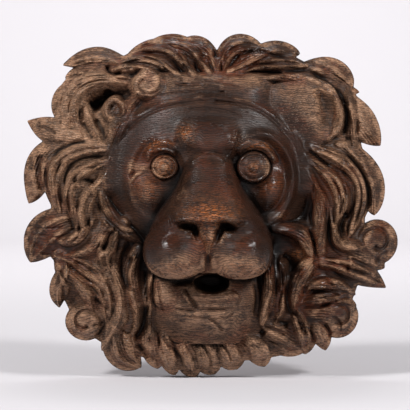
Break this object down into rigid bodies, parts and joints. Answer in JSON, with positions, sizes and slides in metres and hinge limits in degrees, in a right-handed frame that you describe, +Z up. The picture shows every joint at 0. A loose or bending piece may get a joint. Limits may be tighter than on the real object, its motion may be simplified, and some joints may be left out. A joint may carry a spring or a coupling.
{
  "type": "lion head wall mask",
  "caption": "Carved oak lion head with a full curling mane, ringed eyes, broad muzzle and open mouth on a flat back, made to hang on a wall.",
  "frame": {"origin": "middle of the flat back, which is the face that lies on the wall", "axes": "+Y out of the back into the wall, -Y out of the face, +X to the right as the mask is seen, +Z up"},
  "size_m": [0.331, 0.1215, 0.3039],
  "materials": {
    "oak": "old waxed oak, worn and dusty, open grain"
  },
  "bodies": {
    "root": {"lion_mask": "oak"}
  },
  "joints": []
}
